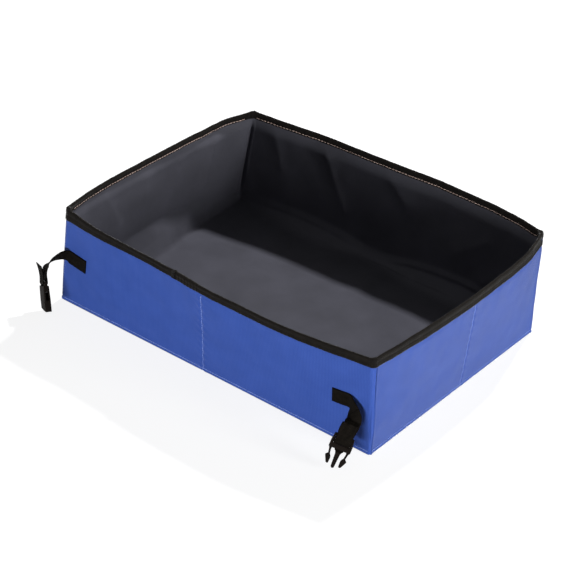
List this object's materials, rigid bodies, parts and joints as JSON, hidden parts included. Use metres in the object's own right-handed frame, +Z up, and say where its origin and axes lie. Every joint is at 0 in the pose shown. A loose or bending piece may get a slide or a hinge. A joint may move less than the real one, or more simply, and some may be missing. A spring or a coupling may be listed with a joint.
{
  "type": "folding litter tray",
  "caption": "Open-top rectangular litter tray of coated cloth stiffened with boards, with a taped rim, a wipe-clean liner and side-release buckle straps for closing it when folded.",
  "frame": {"origin": "middle of the underside, on the floor", "axes": "+X along the long side towards the plug, +Y from the strapped front wall to the back wall, +Z up"},
  "size_m": [0.4228, 0.3761, 0.1139],
  "materials": {
    "oxford_cloth": "matt blue coated plain weave",
    "liner_film": "satin dark grey welded film",
    "stiff_board": "plain",
    "binding_tape": "black grosgrain tape",
    "webbing": "black woven webbing",
    "acetal": "satin black moulding"
  },
  "bodies": {
    "tray": {"cover_front": "oxford_cloth", "cover_right": "oxford_cloth", "cover_back": "oxford_cloth", "cover_left": "oxford_cloth", "cover_base": "oxford_cloth", "board_front_left": "stiff_board", "board_front_right": "stiff_board", "board_right_front": "stiff_board", "board_right_back": "stiff_board", "board_back_right": "stiff_board", "board_back_left": "stiff_board", "board_left_back": "stiff_board", "board_left_front": "stiff_board", "board_base_left": "stiff_board", "board_base_right": "stiff_board", "liner": "liner_film", "rim_binding": "binding_tape", "left_strap_anchor": "webbing", "right_strap_anchor": "webbing"},
    "left_strap_upper": {"left_strap_upper": "webbing"},
    "left_strap_lower": {"left_strap_lower": "webbing"},
    "buckle_socket": {"buckle_socket": "acetal"},
    "right_strap_upper": {"right_strap_upper": "webbing"},
    "right_strap_lower": {"right_strap_lower": "webbing"},
    "buckle_plug": {"buckle_plug": "acetal"},
    "buckle_prong_left": {"buckle_prong_left": "acetal"},
    "buckle_prong_right": {"buckle_prong_right": "acetal"}
  },
  "joints": [
    {"name": "left_strap_swing", "type": "hinge", "parent": "tray", "child": "left_strap_upper", "pos_m": [-0.18528, -0.15367, 0.05826], "axis": [0.0897, -0.0475, 0.9948], "range_deg": [0, 45]},
    {"name": "left_strap_bend", "type": "hinge", "parent": "left_strap_upper", "child": "left_strap_lower", "pos_m": [-0.19983, -0.16921, 0.0524], "axis": [0.5295, -0.7194, 0.4496], "range_deg": [-40, 10]},
    {"name": "socket_pivot", "type": "hinge", "parent": "left_strap_lower", "child": "buckle_socket", "pos_m": [-0.20115, -0.17629, 0.031], "axis": [0.7215, -0.4933, 0.4858], "range_deg": [-60, 20]},
    {"name": "right_strap_swing", "type": "hinge", "parent": "tray", "child": "right_strap_upper", "pos_m": [0.17357, -0.15465, 0.05378], "axis": [-0.1313, -0.0738, 0.9886], "range_deg": [-60, 10]},
    {"name": "right_strap_bend", "type": "hinge", "parent": "right_strap_upper", "child": "right_strap_lower", "pos_m": [0.18497, -0.16516, 0.04054], "axis": [0.8855, 0.4577, -0.0796], "range_deg": [-40, 30]},
    {"name": "plug_pivot", "type": "hinge", "parent": "right_strap_lower", "child": "buckle_plug", "pos_m": [0.18675, -0.18091, 0.02542], "axis": [0.88, 0.402, -0.253], "range_deg": [-40, 0]},
    {"name": "prong_left_flex", "type": "hinge", "parent": "buckle_plug", "child": "buckle_prong_left", "pos_m": [0.17922, -0.18887, 0.02135], "axis": [-0.4742, 0.7132, -0.5161], "range_deg": [0, 9], "stiffness_Nm_per_rad": 0.5},
    {"name": "prong_right_flex", "type": "hinge", "parent": "buckle_plug", "child": "buckle_prong_right", "pos_m": [0.1947, -0.18179, 0.01689], "axis": [0.4742, -0.7132, 0.5161], "range_deg": [0, 9], "stiffness_Nm_per_rad": 0.5}
  ]
}
